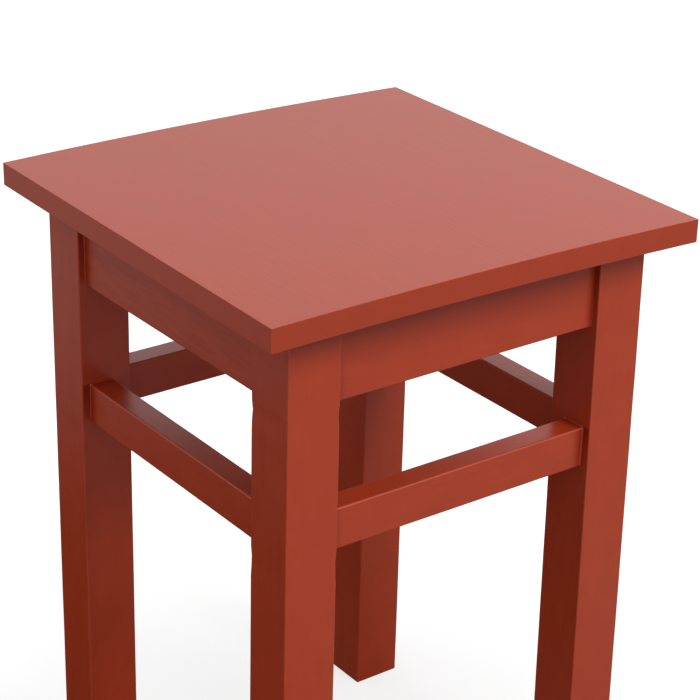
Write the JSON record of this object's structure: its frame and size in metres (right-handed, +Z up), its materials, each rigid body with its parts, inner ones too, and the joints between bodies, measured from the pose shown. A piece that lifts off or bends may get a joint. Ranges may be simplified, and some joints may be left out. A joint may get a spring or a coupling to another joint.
{
  "type": "square wooden stool",
  "caption": "Backless square stool of painted wood: an overhanging board on straight legs, with aprons under it and stretchers below, for sitting on or as a small side table.",
  "frame": {"origin": "on the floor, under the middle of the stool", "axes": "+Z up, the front of the stool faces -Y, the board's grain runs along Y"},
  "size_m": [0.35, 0.35, 0.5094],
  "materials": {
    "red_paint": "satin brick-red paint over planed wood",
    "zinc_steel": "zinc-plated screws"
  },
  "bodies": {
    "root": {"seat_board": "red_paint", "leg_front_left": "red_paint", "leg_front_right": "red_paint", "leg_rear_left": "red_paint", "leg_rear_right": "red_paint", "apron_front": "red_paint", "apron_rear": "red_paint", "apron_left": "red_paint", "apron_right": "red_paint", "stretcher_front": "red_paint", "stretcher_rear": "red_paint", "stretcher_left": "red_paint", "stretcher_right": "red_paint", "corner_block_front_left": "red_paint", "corner_block_front_right": "red_paint", "corner_block_rear_left": "red_paint", "corner_block_rear_right": "red_paint", "block_screw_front_left_front": "zinc_steel", "block_screw_front_left_left": "zinc_steel", "block_screw_front_right_front": "zinc_steel", "block_screw_front_right_right": "zinc_steel", "block_screw_rear_left_left": "zinc_steel", "block_screw_rear_left_rear": "zinc_steel", "block_screw_rear_right_rear": "zinc_steel", "block_screw_rear_right_right": "zinc_steel", "board_screw_front_left": "zinc_steel", "board_screw_front_right": "zinc_steel", "board_screw_rear_left": "zinc_steel", "board_screw_rear_right": "zinc_steel"}
  },
  "joints": []
}
